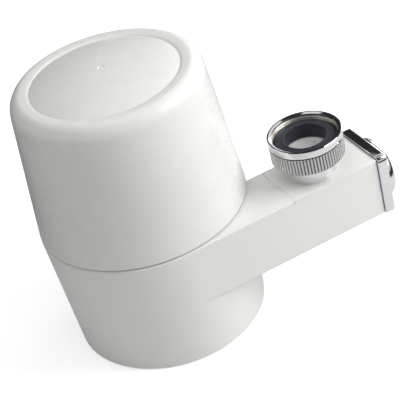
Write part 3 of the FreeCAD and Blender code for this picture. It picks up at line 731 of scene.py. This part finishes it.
nut_finish = fluted_chrome("fluted chrome plate")
mouth = nut_outside - lip - land
flare_end = nut_top - flare * (mouth - thread_root) / (mouth - thread_crest)
nut = turned("swivel_nut", eased([
    (nut_neck, 0.0, nut_round), (nut_outside - nut_chamfer, 0.0, chamfer_round),
    (nut_outside, nut_chamfer), (nut_outside, band_top), (groove_radius, band_top),
    (groove_radius, groove_top), (nut_outside, groove_top, groove_round),
    (nut_outside, nut_top - lip), (nut_outside - lip, nut_top), (mouth, nut_top, mouth_round),
    (thread_root, flare_end), (thread_root, nut_shoulder), (nut_neck, nut_shoulder, nut_round)], steps=3),
    (*inlet, nut_bottom), segments=flutes * steps_per_flute)


def flute_side(point):
    """How many steps a point lies from the bottom of its flute, and none off the fluted band."""
    spoke = point - nut_axis
    height = point.z / mm - nut_bottom
    on_band = spoke.xy.length > fluted_beyond * mm and 0.0 < height < band_top + flush
    step = round(math.atan2(spoke.y, spoke.x) / math.tau * flutes * steps_per_flute) % steps_per_flute
    return min(step, steps_per_flute - step) if on_band else None


bpy.ops.object.mode_set(mode="EDIT")
for side, depth in flute_depths.items():
    select_points(lambda point: flute_side(point) == side)
    press = 1.0 - depth / nut_outside
    bpy.ops.transform.resize(value=(press, press, 1.0), center_override=nut_axis)
bpy.ops.object.mode_set(mode="OBJECT")
bpy.ops.object.shade_smooth_by_angle(angle=flute_smooth)
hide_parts("knurled_nut")
finish_piece(nut, nut_finish, "tap_nut")

nut_thread = screw_thread("nut_thread", thread_root, nut_bottom + tap_thread_start, tap_pitch,
                          tap_thread_turns, thread_root - thread_crest, tap_thread_half_width,
                          steps=72, points=8)
nut_thread.location = nut_axis
bpy.ops.object.transform_apply(location=True, rotation=True, scale=True)
thread_finish = turned_metal("thinly plated thread", (0.60, 0.55, 0.48), (0.84, 0.81, 0.76), 0.30)
finish_piece(nut_thread, thread_finish, "tap_nut")


# Diverter knob: a thick plated square with a round hub, on the square end of the valve's plug.
# A silver-lacquered plastic bezel closes the arm behind it, and a domed cap hides the screw that
# holds it.
def silver_lacquer(name):
    """Silver lacquer over moulded plastic, with a fine grain up and down that blurs what it mirrors."""
    finish = Finish(name)
    brushed = finish.noise(1.0, 2.0, stretch=(3000.0, 3000.0, 90.0))
    haze = finish.noise(240.0, 3.0)
    return finish.surface(finish.add("BsdfPrincipled", {}, {
        "Base Color": finish.mix(haze, (0.76, 0.77, 0.80), (0.85, 0.86, 0.89)),
        "Metallic": 0.4,
        "Roughness": 0.34 + brushed * 0.12,
        "Normal": finish.relief(brushed * (0.003 * mm)),
    }))


dress(silver_lacquer("silver lacquer"), "end_bezel")
valve_z = 38.15
knob_start = 79.1
knob_half = 13.2
knob_thickness = 4.1
knob_corner = 2.4
knob_edge = 0.7
hub_radius = 12.0
hub_root = 2.0
hub_front = 7.5
hub_top = 8.25
hub_round = 2.8
hub_rim = 0.6
hub_rim_round = 0.3
cap_seat = 7.3
cap_hole = 6.4
head_seat = 6.0
head_hole = 2.9
screw_hole = 1.55
socket_half = 2.66
socket_depth = 4.46
cutter_reach = 2.0
along_arm = (0.0, math.pi / 2, 0.0)
knob_place = (knob_start, arm_y, valve_z)


def knob_block(name, back, front, half):
    """A square block about the valve's axis, between two distances from the knob's back."""
    return block(name, Vector((knob_start + back, arm_y - half, valve_z - half)),
                 Vector((knob_start + front, arm_y + half, valve_z + half)))


knob = knob_block("turning_knob", 0.0, knob_thickness, knob_half)
round_block(knob, knob_corner, lambda first, second: abs(first.x - second.x) > knob_thickness / 2, 8)
round_block(knob, knob_edge, lambda first, second: level(first, second, 0, knob_start)
            or level(first, second, 0, knob_start + knob_thickness), 6)
hub = turned("hub", [(0.0, hub_root)] + eased([
    (hub_radius, hub_root), (hub_radius, hub_front, hub_round),
    (cap_hole + hub_rim, hub_top, hub_rim_round), (cap_hole - hub_rim, hub_top)], steps=10)
    + [(0.0, hub_top)], knob_place, along_arm)
combine(knob, hub, "UNION")
well = turned("well", [(0.0, hub_top + cutter_reach), (cap_hole, hub_top + cutter_reach),
                       (cap_hole, cap_seat), (head_hole, cap_seat), (head_hole, head_seat),
                       (screw_hole, head_seat), (screw_hole, socket_depth / 2),
                       (0.0, socket_depth / 2)], knob_place, along_arm)
combine(knob, well, "DIFFERENCE")
combine(knob, knob_block("socket", -cutter_reach / 2, socket_depth, socket_half), "DIFFERENCE")
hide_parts("diverter_knob")
finish_piece(knob, chrome_finish, "diverter")

cap_radius = 6.3
cap_thickness = 1.1
cap_rise = 0.6
cap_round = 0.25
cap_base_round = 0.1
cap_steps = 8
cap_rings = [cap_radius * step / cap_steps for step in range(1, cap_steps - 1)]
cap = turned("screw_cap", [(0.0, cap_thickness + cap_rise)]
             + raised(dome(cap_radius, cap_rise, cap_rings), cap_thickness)
             + eased([(cap_radius, cap_thickness, cap_round), (cap_radius, 0.0, cap_base_round),
                      (0.0, 0.0)]), (knob_start + cap_seat, arm_y, valve_z), along_arm, segments=96)
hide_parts("knob_cap")
finish_piece(cap, chrome_finish, "diverter")


# Outlets: a plated ring with a strainer for plain water under the arm, and a moulded spout for
# filtered water under the foot. Both are pressed in from below.
outlet_mouth = 6.0
outlet_radius = 9.0
outlet_flange = -2.0
outlet_level = 25.8
outlet_spigot = 5.4
outlet_round = 0.7
mouth_ease = 0.3
outlet_cloth_radius = 6.2
outlet_cloth_lift = 0.5
outlet_ring = turned("outlet_ring", eased([
    (outlet_mouth, outlet_flange, mouth_ease), (outlet_radius, outlet_flange, outlet_round),
    (outlet_radius, 0.0), (spigot_radius, 0.0), (spigot_radius, outlet_spigot),
    (outlet_mouth, outlet_spigot)]),
    (*inlet, outlet_level), segments=96)
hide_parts("tap_water_outlet")
finish_piece(outlet_ring, chrome_finish, "housing")
outlet_cloth = wire_cloth("outlet_cloth", outlet_cloth_radius,
                          (*inlet, outlet_level + outlet_spigot + outlet_cloth_lift))
finish_piece(outlet_cloth, white_moulding, "housing")
dress(pale_finish, "filtered_spout")


# Plain pale floor under the foot. A glow that only the camera sees makes it white, weaker round the
# object so that the shadow stays soft. Mirrors see it pale round the object, and further off a painted
# dark reflection that stands in for dark surroundings.
floor_middle = (0.045, -0.025, 0.0)
dark_reflection_edge = (0.115, 0.17)
least_dark_reflection = 0.12
glow_edge = (0.16, 0.45)
least_glow = 0.54
floor_grey = (0.82, 0.82, 0.82, 1.0)
reflection_dark_grey = (0.03, 0.03, 0.03, 1.0)
floor_finish = Finish("floor")
camera_ray = floor_finish.add("LightPath", output="Is Camera Ray")
glossy_ray = floor_finish.add("LightPath", output="Is Glossy Ray")
away = floor_finish.add("VectorMath", {"operation": "DISTANCE"},
                        {0: floor_finish.coordinates, 1: floor_middle}, "Value")
# Painted reflection: the share of the floor that mirrors see dark grey, little near the object and all
# further off
painted_dark_reflection = floor_finish.add("MapRange", {"interpolation_type": "SMOOTHSTEP"},
                             {"Value": away, "From Min": dark_reflection_edge[0], "From Max": dark_reflection_edge[1],
                              "To Min": least_dark_reflection})
plain = floor_finish.add("BsdfDiffuse", {}, {"Color": floor_grey})
paler = floor_finish.add("MapRange", {"interpolation_type": "SMOOTHSTEP"},
                         {"Value": away, "From Min": glow_edge[0], "From Max": glow_edge[1],
                          "To Min": least_glow})
glow = floor_finish.add("Emission", {}, {"Strength": camera_ray * paler})
white = floor_finish.add("AddShader", {}, {0: plain, 1: glow})
# The painted dark reflection's grey, which only mirrors see
dark = floor_finish.add("BsdfDiffuse", {}, {"Color": reflection_dark_grey})
bpy.ops.mesh.primitive_plane_add(size=6.0, location=(0.0, 0.0, 0.0))
floor = bpy.context.object
floor.name = "floor"
floor.data.materials.append(floor_finish.surface(
    floor_finish.add("MixShader", {}, {0: glossy_ray * painted_dark_reflection, 1: white, 2: dark})))


# Studio round the object: plain white to the camera. In mirrors it is a dim room with a bright panel
# overhead, one on the right and low pale walls, and everything gets a weak even light from it.
class Studio(Finish):
    """The studio's walls: a world with nodes, whose coordinates are directions."""

    def __init__(self, name):
        world = bpy.data.worlds.new(name)
        world.use_nodes = True
        bpy.context.scene.world = world
        self.tree = world.node_tree
        self.tree.nodes.clear()
        self.output = self.tree.nodes.new("ShaderNodeOutputWorld")
        self.coordinates = self.add("TexCoord", output="Generated")

    def surface(self, shader):
        self.tree.links.new(shader.socket, self.output.inputs["Surface"])

    def axis(self, letter):
        return self.add("SeparateXYZ", {}, {0: self.coordinates}, letter)

    def ramp(self, value, dark, bright):
        """A soft edge: none at the first value and one at the second."""
        return self.add("MapRange", {"interpolation_type": "SMOOTHSTEP"},
                        {"Value": value, "From Min": dark, "From Max": bright})

    def larger(self, first, second):
        return self.add("Math", {"operation": "MAXIMUM"}, {0: first, 1: second})

    def patch(self, direction, near_edge, far_edge):
        """One near a direction and none away from it, with a soft edge between two cosines."""
        cosine = self.add("VectorMath", {"operation": "DOT_PRODUCT"},
                          {0: self.coordinates, 1: Vector(direction).normalized()}, "Value")
        return self.ramp(cosine, far_edge, near_edge)


ambient = 0.27
panel_level = 0.74
wall_level = 0.6
room_level = 0.024
panel_direction = (0.30, 0.25, 0.92)
panel_edge = (0.90, 0.87)
gap_direction = (0.264, 0.233, 0.937)
gap_edge = (0.988, 0.975)
studio = Studio("studio")
seen = studio.add("LightPath", output="Is Camera Ray")
mirrored = studio.add("LightPath", output="Is Glossy Ray")
through = studio.add("LightPath", output="Is Transmission Ray")
overhead = studio.patch(panel_direction, *panel_edge)
dark_gap = studio.patch(gap_direction, *gap_edge)
sideways = studio.axis("X")
onwards = studio.axis("Y")
upwards = studio.axis("Z")
right_panel = studio.ramp(sideways, 0.44, 0.54) * studio.ramp(sideways, 0.76, 0.66)
right_panel = right_panel * studio.ramp(onwards, 0.14, 0.30)
panels = studio.larger(overhead * (1.0 - dark_gap), right_panel)
either_side = studio.larger(studio.ramp(sideways, 0.94, 0.98), studio.ramp(sideways, -0.55, -0.75))
low_walls = studio.larger(either_side, studio.ramp(onwards, -0.05, -0.35)) * studio.ramp(upwards, 0.52, 0.36)
walls = studio.larger(panels * panel_level, low_walls * wall_level) + room_level
strength = seen + mirrored * walls + through
lit = 1.0 - studio.add("Math", {"operation": "MINIMUM"}, {0: seen + mirrored + through, 1: 1.0})
studio.surface(studio.add("Background", {}, {"Color": (1.0, 1.0, 1.0, 1.0),
                                             "Strength": strength + lit * ambient}))


# Four square softboxes stand round it: the key on the right, a weaker one behind, a wide one above
# and a faint bounce on the left. The last two don't show in the plated pieces.
object_middle = Vector((0.015, -0.01, 0.05))


def softbox(name, place, size, watts, in_mirrors=True):
    """A square lamp with an even face, turned towards the middle of the object."""
    data = bpy.data.lights.new(name, "AREA")
    data.shape = "SQUARE"
    data.size = size
    data.energy = watts
    lamp = bpy.data.objects.new(name, data)
    bpy.context.scene.collection.objects.link(lamp)
    lamp.location = place
    lamp.visible_glossy = in_mirrors
    lamp.rotation_euler = (object_middle - Vector(place)).to_track_quat("-Z", "Y").to_euler()


softbox("key from the right", (0.44, -0.26, 0.34), 0.34, 2.35)
softbox("side from behind the right", (0.62, 0.30, 0.20), 0.4, 1.4)
softbox("fill from above", (-0.02, -0.15, 0.85), 0.6, 2.05, in_mirrors=False)
softbox("bounce from the left", (-0.55, 0.05, 0.15), 0.5, 0.18, in_mirrors=False)
